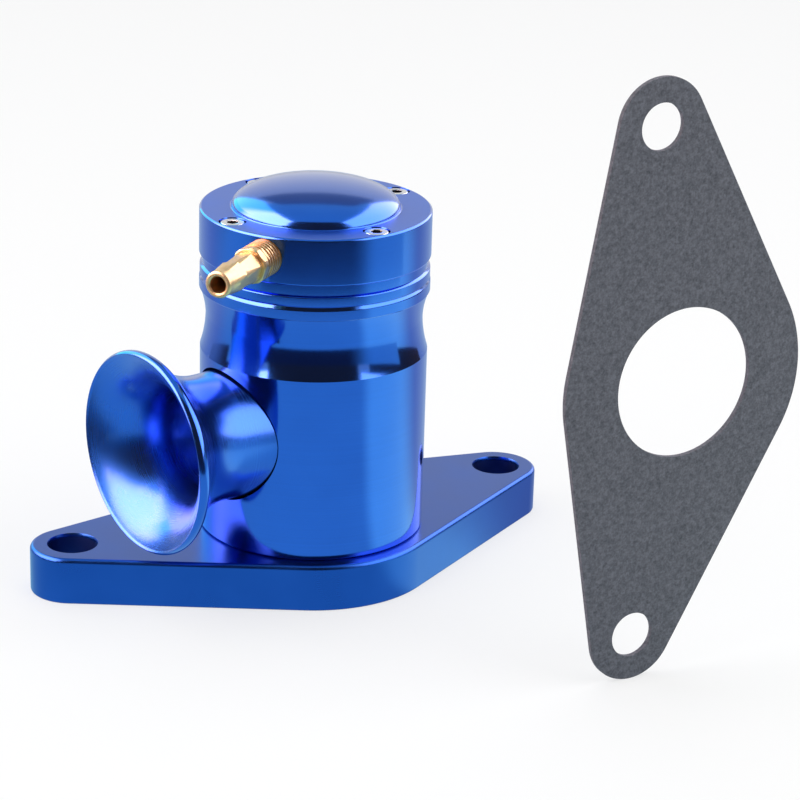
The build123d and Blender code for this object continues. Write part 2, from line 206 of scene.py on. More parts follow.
def arc(start, middle, end, count):
    """Points on the arc through three points of an outline, without its start."""
    (x1, y1), (x2, y2), (x3, y3) = start, middle, end
    area = 2 * (x1 * (y2 - y3) + x2 * (y3 - y1) + x3 * (y1 - y2))
    square1, square2, square3 = x1 * x1 + y1 * y1, x2 * x2 + y2 * y2, x3 * x3 + y3 * y3
    centre_x = (square1 * (y2 - y3) + square2 * (y3 - y1) + square3 * (y1 - y2)) / area
    centre_y = (square1 * (x3 - x2) + square2 * (x1 - x3) + square3 * (x2 - x1)) / area
    radius = math.hypot(x1 - centre_x, y1 - centre_y)
    first = math.atan2(y1 - centre_y, x1 - centre_x)
    last = math.atan2(y3 - centre_y, x3 - centre_x)
    turn = (last - first + math.pi) % (2 * math.pi) - math.pi
    angles = [first + turn * k / count for k in range(1, count + 1)]
    return [(centre_x + radius * math.cos(a), centre_y + radius * math.sin(a)) for a in angles]


def turned(name, outline, steps, rounded=(), creased=(), closed=True):
    """A piece turned about Z: the outline is drawn point by point, its corners rounded, then spun.

    outline is (radius, height) points, rounded is (point, offset) corners, and creased is points whose
    ring stays a sharp edge."""
    points = [(r, 0.0, z) for r, z in outline]
    piece = one_point(name, points[0])
    for here, there in zip(points, points[1:]):
        draw_on(here, there)
    if closed:
        draw_on(points[-1], points[0])
        bpy.ops.mesh.select_all(action="SELECT")
        bpy.ops.mesh.remove_doubles(threshold=1e-7)
    for (r, z), offset in rounded:
        pick(piece, "VERT", lambda co: near(co.x / MM, r) and near(co.z / MM, z))
        bpy.ops.mesh.bevel(affect="VERTICES", offset=offset * MM, segments=4, profile=0.5)
    work_on(piece, "EDIT")
    bpy.ops.mesh.select_mode(type="VERT")
    bpy.ops.mesh.select_all(action="SELECT")
    bpy.ops.mesh.spin(steps=steps, angle=math.tau, center=(0, 0, 0), axis=(0, 0, 1))
    bpy.ops.mesh.select_all(action="SELECT")
    bpy.ops.mesh.remove_doubles(threshold=2e-7)
    bpy.ops.mesh.normals_make_consistent(inside=False)
    for r, z in creased:
        crease_ring(piece, r, z)
    work_on(piece)
    return piece


def crease_ring(piece, r, z):
    """Marks the ring of edges at this radius and height as sharp."""

    def on_ring(a, b):
        return all(near(v.z / MM, z) and near(math.hypot(v.x, v.y) / MM, r) for v in (a, b))

    pick(piece, "EDGE", on_ring)
    bpy.ops.mesh.mark_sharp()


def cut(piece, cutter):
    """Cuts the cutter's shape out of the piece and throws the cutter away."""
    work_on(piece)
    modifier = piece.modifiers.new("cut", "BOOLEAN")
    modifier.operation = "DIFFERENCE"
    modifier.solver = "EXACT"
    modifier.object = cutter
    bpy.ops.object.modifier_apply(modifier=modifier.name)
    bpy.data.objects.remove(cutter)


def drill(radius, start, end, sides=96, flare=0.0):
    """A cutter for a round hole along Z, from start to end, opening out by flare near its end."""
    clear_selection()
    bpy.ops.mesh.primitive_cylinder_add(
        vertices=sides, radius=radius * MM, depth=(end - start) * MM, location=(0, 0, (start + end) / 2 * MM)
    )
    cutter = bpy.context.object
    bpy.ops.object.transform_apply(location=True, rotation=False, scale=False)
    if flare:
        pick(cutter, "FACE", lambda centre, normal: normal.z > 0.9)
        bpy.ops.transform.resize(value=(1 + flare / radius, 1 + flare / radius, 1))
        bpy.ops.mesh.extrude_region_move(TRANSFORM_OT_translate={"value": (0, 0, 2 * MM)})
        work_on(cutter)
    return cutter


def put(piece, matrix):
    """Moves the piece's mesh to its place, so that the object itself stays at the origin."""
    work_on(piece)
    piece.matrix_world = matrix
    bpy.ops.object.transform_apply(location=True, rotation=True, scale=True)
    return piece


def radial(azimuth, height, reach=0.0):
    """The place of a piece whose own Z points outwards at this azimuth and height."""
    turn = Matrix.Rotation(math.radians(azimuth), 4, "Z")
    lie = Matrix.Rotation(math.radians(90), 4, "Y")
    return Matrix.Translation((0, 0, height * MM)) @ turn @ lie @ Matrix.Translation((0, 0, reach * MM))


def soften(piece, name, width, angle):
    """Rounds every edge that is sharper than this angle by a small width."""
    work_on(piece)
    modifier = piece.modifiers.new(name, "BEVEL")
    modifier.width = width * MM
    modifier.segments = 2
    modifier.limit_method = "ANGLE"
    modifier.angle_limit = math.radians(angle)
    bpy.ops.object.modifier_apply(modifier=modifier.name)


def screw_spot(k):
    """The place of a cap screw on its circle."""
    turn = Matrix.Rotation(math.radians(screw_azimuth + 90 * k), 4, "Z")
    return turn @ Matrix.Translation((screw_circle_r * MM, 0, 0))


def finish_surface(piece, angle=32.0):
    """Smooth shading that keeps flats flat and marked edges sharp."""
    work_on(piece)
    bpy.ops.object.shade_smooth_by_angle(angle=math.radians(angle), keep_sharp_edges=True)
    modifier = piece.modifiers.new("flats", "WEIGHTED_NORMAL")
    modifier.keep_sharp = True
    modifier.weight = 60
    bpy.ops.object.modifier_apply(modifier=modifier.name)


def place_of(angle, radius, centre=(0.0, 0.0)):
    """A point on a circle, in millimetres, with the angle in degrees."""
    a = math.radians(angle)
    return centre[0] + radius * math.cos(a), centre[1] + radius * math.sin(a)


def diamond(name, centre_r, end_r, thickness):
    """The outline shared by flange and gasket, drawn with arcs and lines, filled and made thick."""
    bolt_turn = math.degrees(math.atan2(bolt_y, bolt_x))
    open_angle = math.degrees(math.acos((centre_r - end_r) / math.hypot(bolt_x, bolt_y)))
    rear = bolt_turn + open_angle
    front = bolt_turn - open_angle
    ends = [
        ((0.0, 0.0), centre_r, 180 - front - 360, front, 40),
        ((bolt_x, bolt_y), end_r, front, rear, 48),
        ((0.0, 0.0), centre_r, rear, 180 - rear, 24),
        ((-bolt_x, bolt_y), end_r, 180 - rear, 180 - front, 48),
    ]
    outline_start = (*place_of(ends[0][2], centre_r), 0.0)
    here = outline_start
    piece = one_point(name, outline_start)
    for centre, radius, first, last, count in ends:
        there = (*place_of(first, radius, centre), 0.0)
        if math.dist(here, there) > 0.01:
            draw_on(here, there)
        turn = math.radians(last - first)
        pivot = (centre[0] * MM, centre[1] * MM, 0)
        bpy.ops.mesh.spin(steps=count, angle=-turn, center=pivot, axis=(0, 0, 1))
        here = (*place_of(last, radius, centre), 0.0)
    bpy.ops.mesh.select_all(action="SELECT")
    bpy.ops.mesh.remove_doubles(threshold=1e-6)
    if math.dist(here, outline_start) > 0.01:
        pick(piece, "VERT", lambda co: math.dist(co[:2], (here[0] * MM, here[1] * MM)) < 2e-6)
        draw_on(here, outline_start)
        bpy.ops.mesh.select_all(action="SELECT")
        bpy.ops.mesh.remove_doubles(threshold=1e-6)
    bpy.ops.mesh.select_all(action="SELECT")
    bpy.ops.mesh.edge_face_add()
    bpy.ops.mesh.extrude_region_move(TRANSFORM_OT_translate={"value": (0, 0, thickness * MM)})
    bpy.ops.mesh.select_all(action="SELECT")
    bpy.ops.mesh.normals_make_consistent(inside=False)
    work_on(piece)
    return piece


# Pieces


def make_flange():
    """Base flange with softened top edge, two bolt holes and the pocket for the body."""
    plate = diamond("flange_plate", flange_r, flange_end_r, flange_thickness)
    pick_level(plate, flange_thickness)
    bpy.ops.mesh.bevel(offset=0.85 * MM, segments=6, profile=0.5)
    pick_level(plate, 0)
    bpy.ops.mesh.bevel(offset=0.3 * MM, segments=2, profile=0.5)
    for side in (-1, 1):
        hole = drill(bolt_hole_r, -1, flange_thickness - 0.3)
        mouth = drill(bolt_hole_r, flange_thickness - 0.6, flange_thickness, flare=0.35)
        spot = Matrix.Translation((side * bolt_x * MM, bolt_y * MM, 0))
        cut(plate, put(hole, spot))
        cut(plate, put(mouth, spot))
    cut(plate, drill(inlet_r, -1, 3.0, 160))
    cut(plate, drill(pocket_r, 2.5, flange_thickness + 1, 192))
    for azimuth in lock_screw_azimuths:
        cut(plate, put(drill(lock_screw_r, 17, 40, 32), radial(azimuth, lock_screw_z)))
    finish_surface(plate)
    return plate


def make_body():
    """Valve body: spigot, straight wall, waist, lip, groove and the notch under the cap."""
    outline = [
        (seat_r, spigot_foot), (spigot_r, spigot_foot), (spigot_r, flange_thickness),
        (20.98, flange_thickness), (body_r, 9.2), (body_r, straight_top),
        *arc((body_r, straight_top), (20.505, 47.23), (neck_r, neck_z), 14),
        *arc((neck_r, neck_z), (20.562, 53.03), (21.33, lip_z), 14),
        (lip_r, lip_z + 0.15), (lip_r, groove_z), (21.13, 58.18), (21.38, band_z), (21.38, notch_z),
        (20.88, notch_z + 0.3), (20.88, body_top), (15.3, body_top), (bore_r, 61.78),
        (bore_r, 12.0), (seat_r, 12.0),
    ]
    rounded = [
        ((body_r, 9.2), 0.12), ((20.98, flange_thickness), 0.12), ((lip_r, groove_z), 0.12),
        ((21.13, 58.18), 0.12), ((21.38, band_z), 0.08), ((21.38, notch_z), 0.1),
    ]
    creased = [
        (body_r, straight_top), (21.33, lip_z), (spigot_r, flange_thickness), (lip_r, lip_z + 0.15),
    ]
    body = turned("body_shell", outline, 384, rounded, creased)
    cut(body, put(drill(port_r, 4, 20, 160), radial(outlet_azimuth, outlet_z)))
    cut(body, put(drill(port_seat_r, tail_reach, 24, 192), radial(outlet_azimuth, outlet_z)))
    for k in range(4):
        cut(body, put(drill(1.3, 53.3, body_top + 1, 32), screw_spot(k)))
    finish_surface(body)
    return body


def make_trumpet():
    """Trumpet outlet: tail, waist and flare outside, a rolled rim, and the satin flare inside."""
    back = (18.0, 36.4)
    flare = back[1] - waist_reach
    rise = back[0] - waist_r
    flare_r = (flare**2 + rise**2) / (2 * rise)
    flare_mid = (waist_r + flare_r - math.sqrt(flare_r**2 - (flare / 2) ** 2), waist_reach + flare / 2)
    mouth = (18.1, 38.5)
    run = mouth[1] - waist_reach
    widen = mouth[0] - throat_r
    inner_r = (run**2 + widen**2) / (2 * widen)
    inner_mid = (throat_r + inner_r - math.sqrt(inner_r**2 - (run / 2) ** 2), waist_reach + run / 2)
    outline = [
        (throat_r, 10.0), (10.7, 10.0), (10.7, tail_reach), (tail_r, tail_reach),
        *arc((tail_r, tail_reach), (11.99, 20.68), (waist_r, waist_reach), 16),
        *arc((waist_r, waist_reach), flare_mid, back, 40),
        *arc(back, (bell_r, 37.6), (18.45, bell_reach), 18),
        mouth,
        *arc(mouth, inner_mid, (throat_r, waist_reach), 48),
    ]
    rounded = [(back, 0.12), (mouth, 0.1), ((18.45, bell_reach), 0.08)]
    horn = turned("trumpet_horn", outline, 288, rounded)
    put(horn, radial(outlet_azimuth, outlet_z))
    cut(horn, drill(15.3, 0, 80, 192))
    finish_surface(horn, 40)
    return horn


def make_cap():
    """Cap with its dome, four counterbores and the threaded side port for the nipple."""
    foot = 3.0
    dome = []
    for k in range(31):
        angle = math.radians(foot + (90 - foot) * k / 30)
        dome.append((dome_r * math.cos(angle), cap_top + dome_height * math.sin(angle)))
    dome[-1] = (0.0, cap_top + dome_height)
    outline = [
        (cap_recess_r, cap_spigot_foot), (cap_spigot_r, cap_spigot_foot), (cap_spigot_r, body_top),
        (21.2, body_top), (cap_r, body_top + 0.3),
        (cap_r, cap_top - 0.3), (cap_r - 0.3, cap_top), (dome_r, cap_top), *dome,
        (0.0, cap_recess_top), (cap_recess_r, cap_recess_top),
    ]
    rounded = [
        ((cap_r, body_top + 0.3), 0.12), ((21.2, body_top), 0.12), ((cap_r, cap_top - 0.3), 0.12),
        ((cap_r - 0.3, cap_top), 0.12), ((dome_r, cap_top), 0.2),
    ]
    cap = turned("cap_with_dome", outline, 288, rounded)
    for k in range(4):
        cut(cap, put(drill(1.4, 60, 69, 32), screw_spot(k)))
        cut(cap, put(drill(counterbore_r, 68.18, cap_top - 0.12, 64), screw_spot(k)))
        cut(cap, put(drill(counterbore_r, cap_top - 0.3, cap_top, 64, flare=0.12), screw_spot(k)))
    cut(cap, put(drill(3.45, 16.5, 23, 64), radial(nipple_azimuth, nipple_z)))
    cut(cap, put(drill(nipple_bore_r, 8, 18, 32), radial(nipple_azimuth, nipple_z)))
    finish_surface(cap)
    return cap


def make_cap_screws():
    """Four socket screws: one is turned and given its hex socket, then copied round the dome.

    Their heads stand 0.12 mm higher than in the solids, as nearly flush as in the photograph."""
    head_top = cap_top - 0.08
    head_foot = cap_top - 2.7
    foot = head_foot - 11.5
    outline = [
        (0.0, foot), (screw_r, foot), (screw_r, head_foot), (screw_head_r, head_foot),
        (screw_head_r, head_top), (0.0, head_top),
    ]
    screw = turned("cap_screw_1", outline, 64, [((screw_head_r, head_top), 0.28)], closed=False)
    clear_selection()
    bpy.ops.mesh.primitive_cylinder_add(
        vertices=6, radius=socket_r * MM, depth=2.5 * MM, location=(0, 0, head_top * MM)
    )
    socket = bpy.context.object
    bpy.ops.object.transform_apply(location=True, rotation=False, scale=False)
    cut(screw, socket)
    pick_level(screw, head_top, reach=1.2)
    bpy.ops.mesh.bevel(offset=0.1 * MM, segments=2, profile=0.5)
    finish_surface(screw)
    screws = []
    for k in range(4):
        copy = screw if k == 0 else screw.copy()
        if k:
            copy.data = screw.data.copy()
            copy.name = f"cap_screw_{k + 1}"
            bpy.context.scene.collection.objects.link(copy)
        screws.append(copy)
    for k, copy in enumerate(screws):
        put(copy, screw_spot(k) @ Matrix.Rotation(0.5 + 0.9 * k, 4, "Z"))
    return screws


def hex_flats(across, start, end):
    """A cutter that leaves six flats on the nipple: a six-sided tube thickened outwards."""
    clear_selection()
    bpy.ops.mesh.primitive_cylinder_add(
        vertices=6, radius=across / 2 / math.cos(math.pi / 6) * MM, depth=(end - start) * MM,
        end_fill_type="NOTHING", location=(0, 0, (start + end) / 2 * MM),
        rotation=(0, 0, math.radians(flats_turn)),
    )
    tube = bpy.context.object
    bpy.ops.object.transform_apply(location=True, rotation=True, scale=False)
    modifier = tube.modifiers.new("wall", "SOLIDIFY")
    modifier.thickness = 3 * MM
    modifier.offset = 1
    bpy.ops.object.modifier_apply(modifier=modifier.name)
    return tube


def make_nipple():
    """Brass hose nipple: thread, six-sided collar, barbed barrel with flats, plain tip and bore."""
    points = [(nipple_bore_r, -4.9), (3.12, -4.9), (thread_r, -4.62)]
    pitch = thread_length / 6
    for k in range(6):
        points += [(thread_r, k * pitch), (3.14, (k + 0.3) * pitch), (thread_r, (k + 0.6) * pitch)]
    points += [(thread_r, 5.92), (3.12, collar_end), (barrel_r, collar_end)]
    barbs = (7.1, 12.3)
    for barb in barbs:
        points += [(barrel_r, barb - 0.28), (barb_r, barb)]
    tip = [(tip_r, 17.82), (2.17, nipple_length), (1.75, nipple_length)]
    points += [(tip_r, tip_start), *tip, (nipple_bore_r, 17.9)]
    rounded = [((barrel_r, collar_end), 0.12), ((tip_r, tip_start), 0.3), *zip(tip, (0.08, 0.08, 0.06))]
    rounded += [((barb_r, barb), 0.1) for barb in barbs]
    nipple = turned("hose_nipple", points, 96, rounded)
    cut(nipple, hex_flats(6.4, flats_start, collar_end))
    cut(nipple, hex_flats(5.1, collar_end, 14.5))
    soften(nipple, "soft edges", 0.05, 24)
    put(nipple, radial(nipple_azimuth, nipple_z, nipple_start))
    finish_surface(nipple)
    return nipple


def make_gasket():
    """Fibre gasket with two bolt holes and a bore, stood upright beside the valve."""
    sheet = diamond("fibre_gasket", flange_r, gasket_end_r, gasket_back - gasket_front)
    for side in (-1, 1):
        hole = drill(gasket_hole_r, -1, 2, 96)
        cut(sheet, put(hole, Matrix.Translation((side * bolt_x * MM, bolt_y * MM, 0))))
    cut(sheet, drill(inlet_r, -1, 2, 192))
    soften(sheet, "pressed edge", 0.12, 60)
    stand = Matrix(((0, -1, 0, 0), (0, 0, -1, 0), (1, 0, 0, 0), (0, 0, 0, 1)))
    middle_x = gasket_hole_x + bolt_y
    spot = Matrix.Translation((middle_x * MM, gasket_back * MM, gasket_middle_z * MM))
    put(sheet, spot @ stand)
    finish_surface(sheet)
    return sheet


def make_spring():
    """Return spring: a wire section swept into a coil, its ends ground flat on the washers."""
    low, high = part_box("return_spring")
    clear_selection()
    bpy.ops.mesh.primitive_circle_add(
        vertices=20, radius=wire_r * MM, location=(coil_r * MM, 0, low.z), rotation=(math.radians(90), 0, 0)
    )
    coil = bpy.context.object
    coil.name = "spring_coil"
    bpy.ops.object.transform_apply(location=True, rotation=True, scale=True)
    modifier = coil.modifiers.new("coil", "SCREW")
    modifier.angle = math.tau * coil_turns
    modifier.screw_offset = high.z - low.z
    modifier.steps = 360
    modifier.render_steps = 360
    modifier.use_merge_vertices = False
    bpy.ops.object.modifier_apply(modifier=modifier.name)
    for height, side in ((low.z, 1), (high.z, -1)):
        work_on(coil, "EDIT")
        bpy.ops.mesh.select_all(action="SELECT")
        bpy.ops.mesh.bisect(
            plane_co=(0, 0, height), plane_no=(0, 0, side), clear_inner=True, use_fill=True, threshold=1e-8
        )
    bpy.ops.mesh.select_all(action="SELECT")
    bpy.ops.mesh.fill_holes(sides=0)
    bpy.ops.mesh.select_all(action="SELECT")
    bpy.ops.mesh.normals_make_consistent(inside=False)
    work_on(coil)
    finish_surface(coil, 40)
    return coil


# Materials


def group_socket(group, name, kind, direction, value=None):
    """Adds a named input or output to a node group."""
    socket = group.interface.new_socket(name=name, in_out=direction, socket_type=kind)
    if value is not None:
        socket.default_value = value
    return socket


def speckle_group():
    """Fine grain that varies over the surface: a value from two noises, and its bumped normal."""
    group = bpy.data.node_groups.new("surface grain", "ShaderNodeTree")
    group_socket(group, "Place", "NodeSocketVector", "INPUT")
    group_socket(group, "Fine Scale", "NodeSocketFloat", "INPUT", 4000.0)
    group_socket(group, "Broad Scale", "NodeSocketFloat", "INPUT", 120.0)
    group_socket(group, "Relief", "NodeSocketFloat", "INPUT", 0.1)
    group_socket(group, "Grain", "NodeSocketFloat", "OUTPUT")
    group_socket(group, "Cloud", "NodeSocketFloat", "OUTPUT")
    group_socket(group, "Relief Normal", "NodeSocketVector", "OUTPUT")
    nodes, links = group.nodes, group.links
    inside = nodes.new("NodeGroupInput")
    out = nodes.new("NodeGroupOutput")
    fine = nodes.new("ShaderNodeTexNoise")
    fine.inputs["Detail"].default_value = 3
    broad = nodes.new("ShaderNodeTexNoise")
    broad.inputs["Detail"].default_value = 2
    bump = nodes.new("ShaderNodeBump")
    bump.inputs["Distance"].default_value = 0.00004
    links.new(inside.outputs["Place"], fine.inputs["Vector"])
    links.new(inside.outputs["Fine Scale"], fine.inputs["Scale"])
    links.new(inside.outputs["Place"], broad.inputs["Vector"])
    links.new(inside.outputs["Broad Scale"], broad.inputs["Scale"])
    links.new(fine.outputs["Fac"], bump.inputs["Height"])
    links.new(inside.outputs["Relief"], bump.inputs["Strength"])
    links.new(fine.outputs["Fac"], out.inputs["Grain"])
    links.new(broad.outputs["Fac"], out.inputs["Cloud"])
    links.new(bump.outputs["Normal"], out.inputs["Relief Normal"])
    return group


def turning_group():
    """Lathe marks: rings about the piece's own Z, as a value."""
    group = bpy.data.node_groups.new("lathe marks", "ShaderNodeTree")
    group_socket(group, "Place", "NodeSocketVector", "INPUT")
    group_socket(group, "Pitch Scale", "NodeSocketFloat", "INPUT", 9000.0)
    group_socket(group, "Marks", "NodeSocketFloat", "OUTPUT")
    nodes, links = group.nodes, group.links
    inside = nodes.new("NodeGroupInput")
    out = nodes.new("NodeGroupOutput")
    split = nodes.new("ShaderNodeSeparateXYZ")
    flat = nodes.new("ShaderNodeCombineXYZ")
    length = nodes.new("ShaderNodeVectorMath")
    length.operation = "LENGTH"
    join = nodes.new("ShaderNodeCombineXYZ")
    rings = nodes.new("ShaderNodeTexNoise")
    rings.inputs["Detail"].default_value = 2
    links.new(inside.outputs["Place"], split.inputs["Vector"])
    links.new(split.outputs["X"], flat.inputs["X"])
    links.new(split.outputs["Y"], flat.inputs["Y"])
    links.new(flat.outputs["Vector"], length.inputs[0])
    links.new(length.outputs["Value"], join.inputs["X"])
    links.new(split.outputs["Z"], join.inputs["Z"])
    links.new(join.outputs["Vector"], rings.inputs["Vector"])
    links.new(inside.outputs["Pitch Scale"], rings.inputs["Scale"])
    links.new(rings.outputs["Fac"], out.inputs["Marks"])
    return group


def new_material(name):
    """A material with one Principled shader, and its node tree."""
    material = bpy.data.materials.new(name)
    material.use_nodes = True
    tree = material.node_tree
    shader = tree.nodes["Principled BSDF"]
    return material, tree, shader


def place_node(tree, turn=None):
    """Object coordinates, turned where a piece's own axis isn't Z."""
    coordinates = tree.nodes.new("ShaderNodeTexCoord")
    if turn is None:
        return coordinates.outputs["Object"]
    mapping = tree.nodes.new("ShaderNodeMapping")
    mapping.vector_type = "TEXTURE"
    mapping.inputs["Location"].default_value = turn[0]
    mapping.inputs["Rotation"].default_value = turn[1]
    tree.links.new(coordinates.outputs["Object"], mapping.inputs["Vector"])
    return mapping.outputs["Vector"]


def use_group(tree, group, **values):
    """Puts a node group in a material with its own values."""
    node = tree.nodes.new("ShaderNodeGroup")
    node.node_tree = group
    for name, value in values.items():
        node.inputs[name.replace("_", " ")].default_value = value
    return node


def between(tree, source, low, high):
    """A value spread from low to high over a noise's usual range."""
    spread = tree.nodes.new("ShaderNodeMapRange")
    spread.inputs["From Min"].default_value = 0.3
    spread.inputs["From Max"].default_value = 0.7
    spread.inputs["To Min"].default_value = low
    spread.inputs["To Max"].default_value = high
    tree.links.new(source, spread.inputs["Value"])
    return spread.outputs["Result"]


def blended(tree, share, first, second):
    """A value that is this share of the way from the first to the second."""
    mix = tree.nodes.new("ShaderNodeMix")
    mix.data_type = "FLOAT"
    mix.inputs["Factor"].default_value = share
    tree.links.new(first, mix.inputs["A"])
    tree.links.new(second, mix.inputs["B"])
    return mix.outputs["Result"]


def two_tones(tree, source, dark, light):
    """A colour that goes from dark to light with a value."""
    mix = tree.nodes.new("ShaderNodeMix")
    mix.data_type = "RGBA"
    mix.inputs["A"].default_value = (*dark, 1)
    mix.inputs["B"].default_value = (*light, 1)
    tree.links.new(source, mix.inputs["Factor"])
    return mix.outputs["Result"]


grain = speckle_group()
lathe = turning_group()
outlet_turn = ((0, 0, outlet_z * MM), radial(outlet_azimuth, 0).to_euler("XYZ"))
nipple_turn = ((0, 0, nipple_z * MM), radial(nipple_azimuth, 0).to_euler("XYZ"))


def metal(name, dark, light, rough, relief=0.05, ringed=0.5, turn=None, fine=4000.0):
    """A metal whose tone and gloss vary with grain and lathe marks."""
    material, tree, shader = new_material(name)
    place = place_node(tree, turn)
    speck = use_group(tree, grain, Fine_Scale=fine, Broad_Scale=90.0, Relief=relief)
    rings = use_group(tree, lathe, Pitch_Scale=9000.0)
    tree.links.new(place, speck.inputs["Place"])
    tree.links.new(place, rings.inputs["Place"])
    mottle = blended(tree, ringed, speck.outputs["Cloud"], rings.outputs["Marks"])
    tone = between(tree, mottle, 0, 1)
    tree.links.new(two_tones(tree, tone, dark, light), shader.inputs["Base Color"])
    tree.links.new(between(tree, mottle, *rough), shader.inputs["Roughness"])
    tree.links.new(speck.outputs["Relief Normal"], shader.inputs["Normal"])
    shader.inputs["Metallic"].default_value = 1.0
    return material


def anodised(name, rough, coat, coat_rough, relief=0.03, deep=1.0, **how):
    """Blue dyed anodising: tinted metal under a thin clear skin, its tone scaled by deep."""
    dark = (0.011 * deep, 0.118 * deep, 0.58 * deep)
    light = (0.018 * deep, 0.142 * deep, 0.66 * deep)
    material = metal(name, dark, light, rough, relief=relief, **how)
    shader = material.node_tree.nodes["Principled BSDF"]
    shader.inputs["Coat Weight"].default_value = coat
    shader.inputs["Coat Roughness"].default_value = coat_rough
    shader.inputs["Coat IOR"].default_value = 1.5
    return material


def dull(name, dark, light, rough, fine, broad, relief, sheen=0.0):
    """A plain surface such as rubber, plastic or fibre, with mottled tone and a fine grain."""
    material, tree, shader = new_material(name)
    place = place_node(tree)
    speck = use_group(tree, grain, Fine_Scale=fine, Broad_Scale=broad, Relief=relief)
    tree.links.new(place, speck.inputs["Place"])
    tone = between(tree, blended(tree, 0.5, speck.outputs["Grain"], speck.outputs["Cloud"]), 0, 1)
    tree.links.new(two_tones(tree, tone, dark, light), shader.inputs["Base Color"])
    tree.links.new(between(tree, speck.outputs["Grain"], *rough), shader.inputs["Roughness"])
    tree.links.new(speck.outputs["Relief Normal"], shader.inputs["Normal"])
    shader.inputs["Sheen Weight"].default_value = sheen
    return material


blue_polished = anodised("blue anodised, polished", (0.10, 0.14), 1.0, 0.08)
blue_cap = anodised("blue anodised, cap", (0.15, 0.19), 1.0, 0.12)
blue_faced = anodised("blue anodised, faced flat", (0.34, 0.42), 0.6, 0.34)
blue_flange = anodised("blue anodised, flange", (0.26, 0.34), 0.4, 0.24, relief=0.08, deep=0.7, ringed=0.1)
blue_horn = anodised("blue anodised, trumpet outside", (0.23, 0.29), 1.0, 0.19, turn=outlet_turn)
blue_rim = anodised("blue anodised, trumpet rim", (0.14, 0.18), 1.0, 0.1, turn=outlet_turn)
blue_satin = anodised(
    "blue anodised, satin flare", (0.24, 0.3), 1.0, 0.2, relief=0.6, ringed=0.3, turn=outlet_turn,
    fine=5200.0,
)
# A much darker blue for the walls of holes: painted shade inside the bolt holes and the hole round the
# trumpet.
blue_painted_shade_bore = metal(
    "blue anodised, painted shade in holes", (0.02, 0.045, 0.2), (0.028, 0.06, 0.26), (0.4, 0.5), relief=0.3
)
brass = metal(
    "machined brass", (0.76, 0.49, 0.21), (0.92, 0.66, 0.36), (0.32, 0.42), turn=nipple_turn, ringed=0.7
)
# Darker copper-toned brass for the thread grooves: painted shade in the thread roots.
brass_painted_shade_roots = metal(
    "brass, painted shade in thread roots", (0.34, 0.15, 0.05), (0.46, 0.22, 0.08), (0.36, 0.46), turn=nipple_turn, ringed=0.7
)
bright_steel = metal("bright steel", (0.66, 0.65, 0.63), (0.88, 0.87, 0.85), (0.16, 0.26), ringed=0.2)
# Dark steel: the real black oxide of the lock screws, and painted shade inside the cap screws' hex sockets.
black_oxide_and_socket_shade_steel = metal("black oxide steel and painted socket shade", (0.05, 0.05, 0.055), (0.12, 0.12, 0.13), (0.3, 0.42))
spring_steel = metal("spring wire", (0.34, 0.34, 0.36), (0.52, 0.52, 0.54), (0.22, 0.34), ringed=0.2)
plain_aluminium = metal(
    "machined aluminium", (0.62, 0.63, 0.65), (0.80, 0.81, 0.82), (0.2, 0.34), ringed=0.8
)
rubber = dull("black rubber", (0.012, 0.012, 0.012), (0.03, 0.03, 0.03), (0.5, 0.66), 3000.0, 300.0, 0.1)
white_plastic = dull(
    "white wear ring", (0.76, 0.76, 0.72), (0.86, 0.86, 0.83), (0.4, 0.5), 2400.0, 200.0, 0.05
)
fibre = dull(
    "grey fibre paper", (0.036, 0.039, 0.049), (0.134, 0.139, 0.167), (0.8, 0.95),
    2600.0, 1400.0, 0.6, sheen=0.05,
)


def wear(piece, *materials):
    """Gives the piece its materials, in slot order."""
    piece.data.materials.clear()
    for material in materials:
        piece.data.materials.append(material)


def paint(piece, slot, wanted):
    """Gives the faces for which wanted(centre, normal) holds the material in this slot."""
    pick(piece, "FACE", wanted)
    piece.active_material_index = slot
    bpy.ops.object.material_slot_assign()
    work_on(piece)


def stand_for(piece, body, slot_name, *nodes):
    """The piece rides on its body and stands for the solids it replaces."""
    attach(piece, body)
    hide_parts(*nodes)


# Tests of a face's centre and normal, which choose where a piece has another material

outward = Vector((*place_of(outlet_azimuth, 1.0), 0.0))
barrel = Vector((*place_of(nipple_azimuth, 1.0), 0.0))


def in_bolt_hole(centre, normal):
    """Whether a face is the wall of a bolt hole, below its mouth; these walls get painted shade."""
    aside = math.hypot(abs(centre.x) / MM - bolt_x, centre.y / MM - bolt_y)
    return aside < bolt_hole_r + 0.05 and abs(normal.z) < 0.2


def from_outlet_axis(point):
    """How far out along the outlet's axis a point lies, and the way to it from that axis."""
    along = point.dot(outward)
    return along, point - Vector((0, 0, outlet_z * MM)) - outward * along


def in_outlet_hole(centre, normal):
    """Whether a face is the wall of the hole that the trumpet sits in; these walls get painted shade."""
    along, across = from_outlet_axis(centre)
    return along > 10 * MM and across.length < (port_seat_r + 0.06) * MM and abs(normal.dot(outward)) < 0.3


def inside_flare(centre, normal):
    """Whether a face of the trumpet looks inwards, past the throat."""
    along, across = from_outlet_axis(centre)
    return along > 20 * MM and across.dot(normal) < 0 and across.length < 18.3 * MM


def on_rim(centre, normal):
    """Whether a face belongs to the trumpet's rolled rim."""
    return centre.dot(outward) > 36.3 * MM and not inside_flare(centre, normal)


def on_cap_face(centre, normal):
    """Whether a face belongs to the cap's flat top, round the dome."""
    return normal.z > 0.995 and near(centre.z / MM, cap_top, 0.01)


